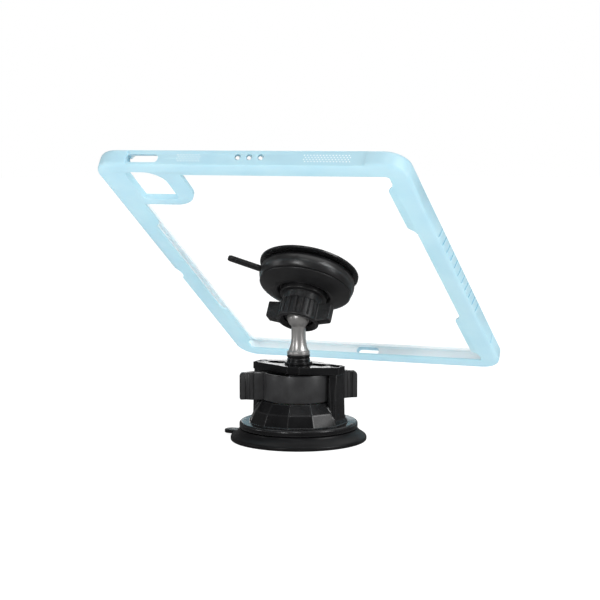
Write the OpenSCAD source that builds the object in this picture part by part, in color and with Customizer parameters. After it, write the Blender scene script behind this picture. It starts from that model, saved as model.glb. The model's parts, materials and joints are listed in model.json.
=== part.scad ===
// Twist-lock suction stand with a ball head that carries a clear-backed soft tablet case.
// Millimetres. The origin is the centre of the base cup on the table, +Z is up,
// X runs along the short edges of the case and the tablet looks towards +Y.

/* [Stance] */
// Lean of the head away from upright, towards +Y
head_tilt = 32.6; // [20:0.1:36]
// Turn of the base about Z, because the head can be set at any angle on its ball
base_yaw = -6; // [-15:1:15]
// Turn of the drum's wings away from the posts when the cup is released
wing_turn = 34.7; // [30:0.1:45]
// Gap between curved faces that move past each other
run_gap = 0.25; // [0.15:0.01:0.35]
// Radial gap of a shaft in its bore
shaft_fit = 0.06; // [0.03:0.01:0.1]

/* [Base cup] */
// Radius of the cup's rim
cup_rim_r = 42.1; // [40:0.1:46]
// Thickness of the rim's edge
cup_rim_t = 2; // [1:0.1:2.5]
// Radius where the flared skirt meets the housing
cup_top_r = 36.8; // [35:0.1:38]
// Height of the cup under the housing
cup_h = 7.1; // [6:0.1:9]
// Radius of the boss that holds the pull stud
cup_boss_r = 11; // [10:0.1:13]
// Height of the boss above the skirt's top
cup_boss_h = 2; // [1:0.1:2.5]
// Rubber left under the middle of the cup
cup_floor_t = 1.6; // [1:0.1:2]
// Width of the flat sealing ring under the rim
cup_seal_w = 2.2; // [1.5:0.1:4]
// Reach of the release tab from the axis
cup_tab_reach = 49; // [46:0.5:55]
// Width of the release tab
cup_tab_w = 9; // [6:0.5:14]
// Thickness of the release tab
cup_tab_t = 2.3; // [1.5:0.1:3]
// Direction of the release tab from +X
cup_tab_az = 182; // [90:1:270]

/* [Housing] */
// Radius of the flange over the cup
flange_r = 36.6; // [35:0.1:40]
// Thickness of the flange
flange_t = 4; // [3:0.1:6]
// Sides of the faceted body
cone_sides = 12; // [8:1:12]
// Corner radius of the faceted body at its foot
cone_foot_r = 31.3; // [30:0.1:33]
// Corner radius at the crease
cone_mid_r = 27.6; // [26:0.1:29]
// Corner radius at the top
cone_top_r = 23.2; // [22:0.1:25]
// Height of the lower tier
cone_low_h = 7.2; // [6:0.1:9]
// Height of the upper tier
cone_up_h = 6.1; // [5:0.1:8]
// Wall of the housing
housing_wall = 2.4; // [1.6:0.1:3]
// Wall of the tube that guides the pull stud
guide_wall = 3.4; // [2.5:0.1:4]

/* [Posts] */
// Distance from the axis to a post's inner face
post_in = 23.7; // [23.2:0.1:25]
// Radial thickness of a post under the plate
post_t = 5; // [4.8:0.1:5.5]
// Width of a post's inner face under the plate
post_w = 11.8; // [10.6:0.1:13]
// Width of a post's outer face under the plate
post_tip_w = 10.2; // [9:0.1:10.5]
// Width of a post at its foot
post_foot_w = 16.6; // [14:0.1:20]

/* [Twist drum] */
// Radius of the drum
drum_r = 22.5; // [21:0.1:23]
// Height of the drum
drum_h = 16.6; // [14:0.1:20]
// Wall of the drum
drum_wall = 2.5; // [2:0.1:4]
// Reach of a wing from the axis
wing_reach = 36.4; // [32:0.1:38]
// Thickness of a wing's paddle
wing_t = 5; // [4:0.1:7]
// Reach of the thick root of a wing
wing_root_reach = 28.2; // [25:0.1:30]
// Thickness of the root of a wing
wing_root_t = 9; // [7:0.1:11]
// Rounding of a wing's upper corner
wing_corner_r = 2.6; // [1:0.1:5]
// Thickness of the washer under the drum
washer_t = 0.5; // [0.3:0.1:1]
// Rise of the cup's middle over the full twist
cam_lift = 3; // [2:0.1:3.5]
// Full twist of the drum
cam_turn = 90; // [60:5:95]

/* [Pull stud] */
// Radius of the pull stud
pull_r = 4; // [3:0.1:5]
// Radius of the foot moulded into the cup
pull_foot_r = 8; // [6:0.1:9]
// Thickness of that foot
pull_foot_t = 2; // [1.5:0.1:2.5]
// Radius of the cross pin
cross_pin_r = 1.5; // [1:0.1:2]
// Depth of the pin's groove in the drum's hub
cam_groove_d = 3.2; // [2:0.1:4]

/* [Top plate] */
// Half length of the plate along the posts
plate_half_l = 29.6; // [29:0.1:33]
// Half width of the plate
plate_half_w = 16; // [14:0.1:18]
// Half width of the blunt ends
plate_end_w = 4.6; // [4:0.1:8]
// Half length of the straight sides
plate_side_l = 4.1; // [3:0.1:12]
// Shift of each straight side along the plate, one way in front and the other way behind
plate_skew = 4.6; // [0:0.1:6]
// Thickness of the plate
plate_t = 4.6; // [3.5:0.1:6]
// Depth of the recesses in its top
plate_recess = 0.8; // [0.4:0.1:1.2]
// Length of each recess along the plate
plate_recess_l = 10; // [6:0.1:11]
// Width of each recess
plate_recess_w = 8.5; // [5:0.1:10]
// Radius of a plate screw's thread
screw_r = 1.3; // [1:0.1:1.5]
// Radius of a plate screw's head
screw_head_r = 2.3; // [2:0.1:2.5]
// Length of a plate screw under its head
screw_l = 12; // [8:0.5:16]
// Half distance between the two screws of a post
screw_half_pitch = 2.6; // [2.55:0.05:3]

/* [Ball stud] */
// Radius of the black collar under the stud
collar_r = 7.1; // [6.5:0.1:8]
// Height of the collar
collar_h = 5.6; // [4:0.1:8]
// Radius of the collar's foot ring
collar_foot_r = 8.6; // [8:0.1:9]
// Thickness of the collar's foot ring
collar_foot_t = 1; // [0.6:0.1:1.5]
// Radius of the stud's rim
stud_rim_r = 7; // [6:0.1:7.5]
// Height of the stud's rim
stud_rim_h = 2.3; // [1.5:0.1:4]
// Height of the flare from rim to neck
stud_flare_h = 7.6; // [5:0.1:10]
// Radius of the neck
neck_r = 4.45; // [4:0.05:4.6]
// Rise from the plate to the ball's centre
stud_rise = 28.7; // [26:0.1:32]
// Radius of the ball
ball_r = 7; // [6.8:0.05:7.5]
// Radius of the threaded shank
shank_r = 4; // [3:0.1:4.5]
// Width of the shank's nut over its flats
stud_nut_w = 13; // [11:0.1:14]
// Thickness of the shank's nut
stud_nut_t = 5; // [4:0.1:6]
// Radius of the washer above the nut
stud_washer_r = 8; // [7:0.1:9]
// Thickness of the washer above the nut
stud_washer_t = 1.2; // [0.8:0.1:2]

/* [Ball socket] */
// Thickness of the liner over the ball
liner_t = 0.9; // [0.6:0.05:1.1]
// Height of the liner's edge over the ball's centre
liner_edge = 3.6; // [3.4:0.1:4]
// Height of the shoulder below the liner
collet_shoulder = 1.9; // [1.5:0.1:2.2]
// Radius of the collet
collet_r = 9.1; // [9:0.05:9.3]
// Reach of the collet's lip below the ball's centre
collet_lip = 1.2; // [0.8:0.1:1.4]
// Thickness of the collet over the liner
collet_roof = 1.5; // [1:0.1:2]
// Width of the collet's slits
collet_slit = 1.6; // [1:0.1:2.5]
// Number of the collet's slits
collet_slits = 4; // [3:1:6]

/* [Clamp nut] */
// Radius over the nut's ribs
nut_r = 13; // [12.8:0.1:14]
// Depth of the grooves between the ribs
nut_rib_d = 0.7; // [0.3:0.1:0.9]
// Number of the nut's ribs
nut_ribs = 20; // [12:1:28]
// Drop of the nut's bottom below the ball's centre
nut_drop = 3.9; // [3.5:0.1:4.2]
// Height of the nut's top over the ball's centre
nut_top = 8.8; // [8:0.1:9]
// Radius of the nut's mouth
nut_mouth_r = 11.4; // [10.4:0.1:12]
// Reach of a nut wing from the axis
nut_wing_reach = 20.6; // [18:0.1:24]
// Thickness of a nut wing
nut_wing_t = 6; // [4:0.1:8]
// Height of a nut wing's tip bottom against the ball's centre
nut_wing_low = -1.9; // [-3:0.1:0]
// Size of the cut corner under a nut wing
nut_wing_cut = 0.8; // [0.4:0.1:2]
// Wall of the threaded sleeve inside the nut
sleeve_wall = 1.5; // [1.3:0.05:1.6]

/* [Head] */
// Radius of the grained neck above the nut
head_neck_r = 12; // [11.5:0.1:13]
// Height of the neck's top over the ball's centre
head_neck_top = 13.5; // [12.5:0.1:15]
// Radius of the plain step above the neck
head_step_r = 14.6; // [14:0.1:15.5]
// Height of the floor of the groove round that step
head_groove_top = 18; // [17:0.1:18.6]
// Radius of the bowl's lowest ring
bowl_low_r = 18.4; // [17.5:0.1:20]
// Height of the bowl's lowest ring
bowl_low_s = 15; // [14:0.1:16]
// Radius of the bowl at its seam
bowl_r = 28.9; // [28:0.1:30]
// Height of the seam over the ball's centre
seam_s = 20.4; // [19.5:0.1:21]
// Height of the ring's top over the ball's centre
ring_top_s = 30.7; // [30:0.1:31.2]
// Bulge of the ring beyond the bowl
ring_bulge = 1.1; // [0.2:0.1:1.4]
// Wall of the ring
ring_wall = 1.6; // [1.2:0.1:2]
// Radius of the pad's lip
pad_lip_r = 31.2; // [30:0.1:33]
// Thickness of the pad's lip at its edge
pad_lip_t = 1.4; // [0.8:0.1:2]
// Width of the pad's flat sealing ring
pad_seal_w = 3; // [2:0.1:5]
// Reach of the pad's pull tab from the axis
pad_tab_reach = 51; // [45:0.5:60]
// Width of the pull tab
pad_tab_w = 4.5; // [3:0.1:6]
// Thickness of the pull tab
pad_tab_t = 2.4; // [1.5:0.1:2.7]
// Direction of the pull tab in the panel's plane
pad_tab_az = 210; // [180:1:330]
// Height of the panel's back over the ball's centre
panel_s = 33.6; // [33:0.1:36]
// Thickness of the plate under the pad
core_t = 2.6; // [2:0.1:2.8]

/* [Case] */
// Width of the tablet
tablet_w = 178.5; // [170:0.1:185]
// Length of the tablet
tablet_l = 247.6; // [240:0.1:260]
// Thickness of the tablet
tablet_t = 6.1; // [5:0.1:8]
// Gap round the tablet
tablet_gap = 0.4; // [0.2:0.1:0.8]
// Thickness of the case's side walls
case_wall = 5.8; // [4.5:0.05:7]
// Radius of the case's outer corners
case_corner_r = 14; // [13:0.1:20]
// Overhang of the front lip over the tablet
lip_over = 2.2; // [1:0.1:3]
// Thickness of the front lip
lip_t = 1.8; // [1.2:0.1:2.5]
// Thickness of the clear panel
panel_t = 1.4; // [1:0.1:2]
// Height of the back rim behind the panel
rim_proud = 1; // [0.6:0.1:1.5]
// Width of the back rim
rim_w = 12; // [11:0.1:12.8]
// Width of the rim that covers the panel's edge
rim_lap = 4; // [2:0.1:6]
// Extra rim width beside the corners
gusset_w = 4; // [1:0.1:5]
// Half length of the narrow stretch of the side rails
gusset_from = 53.5; // [40:0.5:70]
// Shift of the narrow stretch up the panel
gusset_shift = 2; // [0:0.1:5]
// Depth of the flats between the corner bumpers
bumper_step = 0.8; // [0.3:0.1:1.2]
// Length of a corner bumper along the end walls
bumper_l = 22.5; // [20:0.5:30]
// Length of the flat on the plain side wall
side_flat_l = 95; // [80:0.5:130]
// Length of the grip flat on the other side wall
grip_flat_l = 184; // [140:0.5:200]
// Distance from the head's axis up the panel to the case's middle, downwards
case_drop = 5; // [0:0.1:10]

/* [Case openings] */
// Nearest edge of the camera block to the case's middle
camera_block_x = 42; // [38:0.1:46]
// Lower edge of the camera block above the case's middle
camera_block_y = 84.3; // [76:0.1:88]
// Rounding of the camera block's free corner
camera_block_r = 16; // [8:0.5:18]
// Width of the camera window at the back
camera_w = 23.8; // [20:0.1:26.5]
// Height of the camera window at the back
camera_h = 30.4; // [20:0.1:33]
// Slope of the window's edges, from the back to the inside
camera_slope = 2.2; // [1:0.1:3]
// Distance of the camera window's middle from the case's middle line
camera_x = 65.4; // [60:0.1:70]
// Height of the camera window's middle above the case's middle
camera_y = 105.9; // [102:0.1:107]
// Rounding of the camera window
camera_r = 4; // [3:0.1:8]
// Rounding of the window's upper corner towards the middle
camera_big_r = 12; // [8:0.1:12.5]
// Length of the power-button slot
power_l = 20.4; // [12:0.1:22]
// Height of the power-button slot
power_h = 4.6; // [4:0.1:5]
// Distance of that slot from the middle line
power_x = 62.9; // [50:0.1:64]
// Height of that slot over the panel, at the outside
power_z = 3.1; // [2.8:0.1:4]
// Rise of that slot towards the inside
slot_lean = 26; // [0:1:28]
// Radius of the microphone holes
mic_r = 1.9; // [0.8:0.1:2]
// Spacing of the microphone holes
mic_pitch = 7; // [5:0.1:9]
// Distance of the middle microphone hole from the middle line
mic_x = -3.8; // [-8:0.1:8]
// Height of the microphone holes over the panel, at the outside
mic_z = 4.4; // [4:0.1:4.8]
// Rise of the microphone holes towards the inside
mic_lean = 16; // [0:1:20]
// Length of the charging opening
port_l = 16; // [12:0.1:20]
// Height of the charging opening
port_h = 5.4; // [4.5:0.1:5.6]
// Length of the volume opening
volume_l = 30; // [20:0.5:36]
// Height of the volume opening
volume_h = 4.6; // [3:0.1:5]
// Distance of the volume opening above the middle
volume_y = 78; // [72:0.5:84]
// Length of the thumb notch
notch_l = 16; // [12:0.5:26]
// Depth of the thumb notch
notch_d = 3.4; // [1:0.1:3.8]
// Height of the notch's middle above the case's middle
notch_y = -5.5; // [-20:0.5:20]
// Number of grip ridges on the other side
ridge_count = 11; // [5:1:13]
// Spacing of the grip ridges
ridge_pitch = 9.6; // [8:0.1:11]
// Width of a grip ridge
ridge_w = 3.6; // [2:0.1:5]
// Slant of the grip ridges
ridge_slant = 28; // [0:1:40]
// Height of the ridges' middle above the case's middle
ridge_y = -2; // [-10:0.5:10]
// Depth of the flat between the ridges
ridge_d = 0.6; // [0.3:0.1:1.2]

/* [Hidden] */

black_rubber = [0.13, 0.13, 0.14];
black_plastic = [0.17, 0.17, 0.18];
aluminium = [0.78, 0.78, 0.78];
steel = [0.62, 0.63, 0.65];
nylon = [0.85, 0.85, 0.82];
sky_blue = [0.71, 0.87, 0.93];
clear = [0.93, 0.96, 0.97, 0.3];

round_fn = 96;
// Overlap of joined shapes and overshoot of cuts
cut = 0.5;
// Gap between flat faces that sit on each other, and between flat faces that move past each other
seat_gap = 0.1;
lift_gap = 0.3;
// Edge breaks of turned metal, soft rubber and moulded plastic
edge_break = 0.3;
soft_edge = 0.4;
edge_round = 0.5;
// Length of a pull tab that is sunk in its rubber
tab_root = 2;

// Heights of the base, from the table up
flange_z = cup_h + lift_gap;
cone_z = flange_z + flange_t;
crease_z = cone_z + cone_low_h;
cone_top_z = crease_z + cone_up_h;
drum_z = cone_top_z + washer_t + seat_gap;
drum_top = drum_z + drum_h;
plate_z = drum_top + lift_gap;
plate_top = plate_z + plate_t;
collar_top = plate_top + collar_h;
ball_z = plate_top + stud_rise;

// Base cup: bow of its skirt, reach of its hollow, draft of its boss, rubber over the stud's foot
skirt_bow = 1.2;
hollow_reach = 9;
boss_draft = 0.6;
foot_cover = 1;

// Housing: room left inside by the facets, chamfer of the flange, margin of the washer, posts' corners
facet_room = 2.5;
flange_edge = 0.9;
washer_margin = 3.5;
post_corner = 1.5;
post_sink = 1;

// Pull stud, its guide and the drum's hub
pin_rise = 6.5;
guide_over = 3.2;
pull_over = 1.6;
hub_wall = 1.8;
hub_under = 2.4;
hub_room = 1;
web_t = 2.5;
boss_top = cup_h + cup_boss_h;
pull_foot_z = cup_h - pull_foot_t - foot_cover;
floor_z = boss_top + cam_lift + run_gap;
floor_top = floor_z + housing_wall;
guide_r = pull_r + shaft_fit + guide_wall;
pin_z = floor_top + cross_pin_r + pin_rise;
guide_top = pin_z + cam_lift + cross_pin_r + guide_over;
pull_top = pin_z + cross_pin_r + pull_over;
hub_in = guide_r + run_gap;
hub_out = hub_in + cam_groove_d + hub_wall;
groove_r = hub_in + cam_groove_d;
pin_half = groove_r - run_gap;
hub_z = pin_z - cross_pin_r - hub_under;
groove_h = 2 * cross_pin_r + 3 * run_gap;
groove_pad = asin(min(0.9, (cross_pin_r + 2 * run_gap) / hub_in));
hub_bore_top = hub_out + hub_room;
hub_top = guide_top - hub_room;

// Thumb flutes of the wings: distance from the tip, radius and depth; rounding of the wings' roots
flute_in = 4.6;
flute_r = 1.9;
flute_d = 0.6;
root_corner_r = 0.6;

// Plate screws: depth of the counterbore, height of the head, size of the cross recess
screw_sink = 1.9;
screw_head_h = 1.6;
cross_l = 2.6;
cross_w = 0.6;
cross_d = 0.9;
// Plate recesses: gap from the collar and corner rounding
recess_gap = 1;
recess_r = 1.5;

// Collar's groove: drop below its top and depth
collar_groove_drop = 2;
collar_groove_d = 0.4;
// Stud: step inside its rim, pull of its flare, length of shank past the nut
rim_step = 0.9;
flare_pull = 0.45;
shank_past = 1.2;

// Ball joint, measured along the head's own axis from the ball's centre
seat_r = ball_r + run_gap;
liner_r = seat_r + liner_t;
pocket_r = liner_r + run_gap;
collet_top = pocket_r + collet_roof;
sleeve_in = collet_r + run_gap;
sleeve_r = sleeve_in + sleeve_wall;
sleeve_low = 0.9;
collet_taper = 0.9;
// Nut: bevel, depth of its flared mouth and radius inside that, bore and seat
nut_bevel = 0.8;
mouth_depth = 2;
mouth_waist_r = 9.2;
nut_bore = sleeve_r + run_gap;
nut_seat = sleeve_low - 2 * run_gap;
// Chamfer at the head's seam
seam_edge = 0.7;
// Bowl: width of the groove's floor, rounding of its lowest ring, width of that ring, wall of its spigot
groove_floor_w = 0.9;
lip_round = 2.2;
bowl_foot_w = 1.6;
spigot_wall = 2;
// Pad: flange, waist inside the ring, rubber over the flange, wall and reach of the hollow
pad_flange_t = 3.4;
pad_waist_in = 2.2;
pad_dish_over = 1.4;
pad_wall = 2.4;
pad_hollow_l = 6.5;
spigot_r = bowl_r - ring_wall - run_gap;
ring_in = spigot_r + run_gap;
core_s = seam_s + seat_gap;
pad_floor = core_s + core_t + seat_gap;
pad_flange_top = pad_floor + pad_flange_t;
pad_waist_r = ring_in - pad_waist_in;
pad_flange_r = ring_in - 2 * run_gap;
core_r = spigot_r - spigot_wall - lift_gap;

// Screws of the core plate: number, circle, thread, hold in the bowl, head and its counterbore
core_screws = 3;
core_screw_pcd_r = 17;
core_screw_r = 1;
core_screw_hold = 3;
core_head_r = 2;
core_head_h = 1.2;
core_head_d = 1.4;

// Case, with its back panel's outer face at zero
pocket_w = tablet_w + 2 * tablet_gap;
pocket_l = tablet_l + 2 * tablet_gap;
case_w = pocket_w + 2 * case_wall;
case_l = pocket_l + 2 * case_wall;
pocket_top = panel_t + tablet_t + seat_gap;
case_top = pocket_top + lip_t;
rebate_q = rim_w - rim_lap;
wall_mid = (pocket_top + panel_t) / 2;
// Roundings of the wall across and along its thickness, behind and in front, and of the rim's inner edge
back_round = [3.2, 2.2];
front_round = [2.6, 3];
rim_edge = 0.55;
// Gap between a gusset and the corner, lap of the camera block in the wall, flat ends of the slots
gusset_gap = 8;
block_lap = 1;
slot_flat = 0.2;

// Points along a smooth bend from a to c, drawn towards b
function bend(a, b, c, n = 6) = [for (i = [0:n]) let (t = i / n)
    a * (1 - t) * (1 - t) + 2 * b * t * (1 - t) + c * t * t];

module base_frame() {
    rotate([0, 0, base_yaw]) children();
}

module head_frame() {
    translate([0, 0, ball_z]) rotate([-head_tilt, 0, 0]) children();
}

// The case as its user sees it from the screen side: X right, Y up the panel, Z to the user
module case_axes() {
    head_frame() translate([0, case_drop, panel_s]) rotate([0, 0, 180]) children();
}

module ring_solid(profile) {
    rotate_extrude($fn = round_fn) polygon(profile);
}

module disc(r, z0, z1) {
    translate([0, 0, z0]) cylinder(r = r, h = z1 - z0, $fn = round_fn);
}

module in_pairs() {
    for (a = [0, 180]) rotate([0, 0, a]) children();
}

module at_plate_screws() {
    screw_x = post_in + post_t / 2;
    in_pairs() for (y = [-1, 1]) translate([screw_x, y * screw_half_pitch, 0]) children();
}

// Flat rounded outline
module rounded_outline(w, l, r) {
    square([w - 2 * r, l], center = true);
    square([w, l - 2 * r], center = true);
    for (x = [-1, 1], y = [-1, 1])
        translate([x * (w / 2 - r), y * (l / 2 - r)]) circle(r, $fn = 48);
}

module rounded_slab(w, l, r, z0, z1) {
    translate([0, 0, z0]) linear_extrude(z1 - z0) rounded_outline(w, l, r);
}

// Thin strap with a round end, used for the two pull tabs
module strap(from, reach, w, t) {
    translate([from, -w / 2, -t / 2]) cube([reach - w / 2 - from, w, t]);
    translate([reach - w / 2, 0, -t / 2]) cylinder(d = w, h = t, $fn = 32);
}

// Base cup with its flared skirt, boss and release tab
module base_suction_cup() {
    under_z = pull_foot_z - cup_floor_t;
    seal_in = cup_rim_r - cup_seal_w;
    skirt = bend([cup_rim_r, cup_rim_t], [cup_top_r + skirt_bow, cup_rim_t + skirt_bow],
        [cup_top_r, cup_h - soft_edge]);
    hollow = bend([cup_boss_r, under_z], [seal_in - hollow_reach, under_z], [seal_in, 0]);
    rim = [[cup_rim_r - soft_edge, 0], [cup_rim_r, soft_edge]];
    boss = [[cup_boss_r, cup_h], [cup_boss_r - boss_draft, boss_top], [0, boss_top]];
    profile = concat([[0, under_z]], hollow, rim, skirt, [[cup_top_r - soft_edge, cup_h]], boss);
    tab_z = cup_rim_t / 2 + cup_tab_t / 2;
    color(black_rubber) difference() {
        union() {
            ring_solid(profile);
            rotate([0, 0, cup_tab_az]) translate([0, 0, tab_z])
                strap(cup_rim_r - tab_root, cup_tab_reach, cup_tab_w, cup_tab_t);
        }
        disc(pull_foot_r + seat_gap, pull_foot_z - seat_gap, pull_foot_z + pull_foot_t + seat_gap);
        disc(pull_r + seat_gap, pull_foot_z, boss_top + cut);
    }
}

// Steel stud moulded into the cup and drawn up by the cross pin
module cup_pull_stud() {
    color(steel) base_frame() difference() {
        union() {
            disc(pull_foot_r, pull_foot_z, pull_foot_z + pull_foot_t);
            disc(pull_r, pull_foot_z, pull_top);
        }
        translate([0, 0, pin_z]) rotate([90, 0, 0])
            cylinder(r = cross_pin_r, h = 3 * pull_r, center = true, $fn = 32);
    }
}

// Dowel across the stud whose ends ride in the drum's helical grooves
module stud_cross_pin() {
    color(steel) base_frame() translate([0, 0, pin_z]) rotate([90, 0, 0])
        cylinder(r = cross_pin_r, h = 2 * pin_half, center = true, $fn = 32);
}

// One post that spreads towards its foot
module post() {
    out = post_in + post_t;
    foot_half = post_foot_w / 2;
    foot = [[post_in, -foot_half], [out - post_corner, -foot_half], [out, post_corner - foot_half],
        [out, foot_half - post_corner], [out - post_corner, foot_half], [post_in, foot_half]];
    head_half = post_w / 2;
    tip_half = post_tip_w / 2;
    head = [[post_in, -head_half], [out, -tip_half], [out, tip_half], [post_in, head_half]];
    hull() {
        translate([0, 0, cone_z - post_sink]) linear_extrude(cut) polygon(foot);
        translate([0, 0, plate_z - cut]) linear_extrude(cut) polygon(head);
    }
}

// Flange, faceted body, guide tube and the two posts in one moulding
module base_housing() {
    inner_foot = cone_foot_r - housing_wall - facet_room;
    inner_top = cone_top_r - housing_wall - facet_room;
    roof_z = cone_top_z - housing_wall;
    facet_turn = 180 / cone_sides;
    color(black_plastic) base_frame() difference() {
        union() {
            difference() {
                union() {
                    ring_solid([[0, flange_z], [flange_r - edge_round, flange_z],
                        [flange_r, flange_z + edge_round], [flange_r, cone_z - flange_edge],
                        [flange_r - flange_edge, cone_z], [0, cone_z]]);
                    rotate([0, 0, facet_turn]) translate([0, 0, cone_z - cut])
                        cylinder(r1 = cone_foot_r, r2 = cone_mid_r, h = cone_low_h + cut, $fn = cone_sides);
                    rotate([0, 0, facet_turn]) translate([0, 0, crease_z])
                        cylinder(r1 = cone_mid_r, r2 = cone_top_r, h = cone_up_h, $fn = cone_sides);
                    in_pairs() post();
                }
                // Room over the cup, and the hollow that the drum's hub turns in
                disc(inner_foot, flange_z - cut, floor_z);
                translate([0, 0, floor_top]) cylinder(r1 = inner_foot - housing_wall, r2 = inner_top,
                    h = roof_z - floor_top, $fn = round_fn);
                disc(hub_bore_top, floor_top, cone_top_z + cut);
                // The drum turns clear of the posts
                disc(drum_r + 2 * run_gap, drum_z, plate_z + cut);
            }
            disc(guide_r, floor_z, guide_top);
        }
        disc(pull_r + shaft_fit, floor_z - cut, guide_top + cut);
        // Upright slots that keep the cross pin from turning
        slot_w = 2 * (cross_pin_r + run_gap);
        slot_low = pin_z - cross_pin_r - 2 * run_gap;
        translate([-slot_w / 2, -guide_r - cut, slot_low]) cube([slot_w, 2 * (guide_r + cut), guide_top]);
        at_plate_screws() translate([0, 0, plate_z - screw_l])
            cylinder(r = screw_r, h = screw_l + cut, $fn = 32);
    }
}

// Low-friction washer that the drum turns on
module drum_washer() {
    color(nylon) base_frame() difference() {
        disc(cone_top_r * cos(180 / cone_sides) - washer_margin, cone_top_z, cone_top_z + washer_t);
        disc(hub_bore_top, cone_top_z - cut, cone_top_z + washer_t + cut);
    }
}

// Helical groove in the drum's hub, which lifts the cross pin as the drum turns
module cam_groove() {
    steps = 24;
    inside = hub_in - hub_room;
    from = -groove_pad;
    to = cam_turn + groove_pad;
    rings = [for (i = [0:steps]) let (turn = from + (to - from) * i / steps, a = 90 - turn,
        z = pin_z + cam_lift * turn / cam_turn)
        each [for (c = [[inside, -1], [groove_r, -1], [groove_r, 1], [inside, 1]])
            [c[0] * cos(a), c[0] * sin(a), z + c[1] * groove_h / 2]]];
    sides = [for (i = [0:steps - 1], k = [0:3]) let (p = 4 * i + k, q = 4 * i + (k + 1) % 4)
        each [[p, p + 4, q], [q, p + 4, q + 4]]];
    last = 4 * steps;
    ends = [[0, 1, 2], [0, 2, 3], [last, last + 2, last + 1], [last, last + 3, last + 2]];
    polyhedron(rings, concat(sides, ends), convexity = 4);
}

// Flat wing outline with rounded outer corners, in the plane of radius and height
module wing_outline(reach, corner) {
    difference() {
        translate([drum_r - drum_wall, drum_z]) square([reach - drum_r + drum_wall, drum_h]);
        for (top = [0, 1]) let (r = top == 1 ? corner : root_corner_r)
            translate([reach, drum_z + top * drum_h]) mirror([0, top]) difference() {
                translate([-r, -cut]) square([r + cut, r + cut]);
                translate([-r, r]) circle(r, $fn = 32);
            }
    }
}

module wing_slab(reach, corner, t) {
    translate([0, t / 2, 0]) rotate([90, 0, 0]) linear_extrude(t) wing_outline(reach, corner);
}

// Drum with two wings; its hub carries the cam grooves
module twist_drum() {
    color(black_plastic) base_frame() difference() {
        union() {
            difference() {
                disc(drum_r, drum_z, drum_top);
                disc(drum_r - drum_wall, drum_z + web_t, drum_top + cut);
            }
            disc(hub_out, hub_z, hub_top);
            rotate([0, 0, wing_turn]) in_pairs() difference() {
                union() {
                    wing_slab(wing_reach, wing_corner_r, wing_t);
                    wing_slab(wing_root_reach, root_corner_r, wing_root_t);
                }
                // Thumb flutes on both faces of the paddle
                for (side = [-1, 1])
                    translate([wing_reach - flute_in, side * (wing_t / 2 + flute_r - flute_d), drum_z - cut])
                        cylinder(r = flute_r, h = drum_h + 2 * cut, $fn = 32);
                disc(drum_r - drum_wall + seat_gap, drum_z - cut, drum_top + cut);
            }
        }
        disc(hub_in, hub_z - cut, drum_top);
        in_pairs() cam_groove();
    }
}

// Lozenge plate that closes the drum and carries the ball stud
module top_plate() {
    long_end = plate_side_l + plate_skew;
    short_end = plate_side_l - plate_skew;
    outline = [[plate_half_l, plate_end_w], [short_end, plate_half_w], [-long_end, plate_half_w],
        [-plate_half_l, plate_end_w], [-plate_half_l, -plate_end_w], [-short_end, -plate_half_w],
        [long_end, -plate_half_w], [plate_half_l, -plate_end_w]];
    color(black_plastic) base_frame() difference() {
        translate([0, 0, plate_z]) linear_extrude(plate_t) polygon(outline);
        disc(shank_r + shaft_fit, plate_z - cut, plate_top + cut);
        at_plate_screws() {
            translate([0, 0, plate_z - cut])
                cylinder(r = screw_r + lift_gap, h = plate_t + 2 * cut, $fn = 32);
            translate([0, 0, plate_top - screw_sink])
                cylinder(r = screw_head_r + 2 * seat_gap, h = screw_sink + cut, $fn = 32);
        }
        in_pairs() translate([collar_foot_r + recess_gap + plate_recess_l / 2, 0, plate_top - plate_recess])
            linear_extrude(plate_recess + cut)
                rounded_outline(plate_recess_l, plate_recess_w, recess_r);
    }
}

// Four plate screws with recessed cross heads
module plate_screws() {
    head_z = plate_top - screw_sink;
    color(steel) base_frame() at_plate_screws() difference() {
        union() {
            translate([0, 0, head_z]) cylinder(r = screw_head_r, h = screw_head_h, $fn = 32);
            translate([0, 0, plate_z - screw_l + lift_gap])
                cylinder(r = screw_r, h = head_z - plate_z + screw_l, $fn = 32);
        }
        for (a = [0, 90]) translate([0, 0, head_z + screw_head_h]) rotate([0, 0, a])
            cube([cross_l, cross_w, 2 * cross_d], center = true);
    }
}

// Black collar that spreads the stud's load on the plate
module stud_collar() {
    bore = shank_r + shaft_fit;
    foot_top = plate_top + collar_foot_t;
    groove_z = collar_top - collar_groove_drop;
    waist = collar_r - collar_groove_d;
    groove = [[collar_r, groove_z - collar_groove_d], [waist, groove_z],
        [waist, groove_z + collar_groove_d], [collar_r, groove_z + 2 * collar_groove_d]];
    color(black_plastic) ring_solid(concat([[bore, plate_top], [collar_foot_r, plate_top],
        [collar_foot_r, foot_top], [collar_r, foot_top + edge_break]], groove,
        [[collar_r, collar_top], [bore, collar_top]]));
}

// Turned aluminium stud: shank, rim, flared foot, neck and ball
module ball_stud() {
    rim_top = collar_top + stud_rim_h;
    neck_z = rim_top + stud_flare_h;
    rim = [[0, collar_top], [stud_rim_r - edge_break, collar_top], [stud_rim_r, collar_top + edge_break],
        [stud_rim_r, rim_top - edge_break], [stud_rim_r - edge_break, rim_top]];
    flare = bend([stud_rim_r - rim_step, rim_top + edge_round],
        [neck_r + edge_break, rim_top + stud_flare_h * flare_pull], [neck_r, neck_z], 8);
    color(aluminium) union() {
        disc(shank_r, plate_z - stud_washer_t - stud_nut_t - shank_past, collar_top + cut);
        ring_solid(concat(rim, flare, [[neck_r, ball_z], [0, ball_z]]));
        translate([0, 0, ball_z]) sphere(ball_r, $fn = round_fn);
    }
}

module stud_washer() {
    color(steel) difference() {
        disc(stud_washer_r, plate_z - stud_washer_t, plate_z);
        disc(shank_r + shaft_fit, plate_z - stud_washer_t - cut, plate_z + cut);
    }
}

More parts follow.
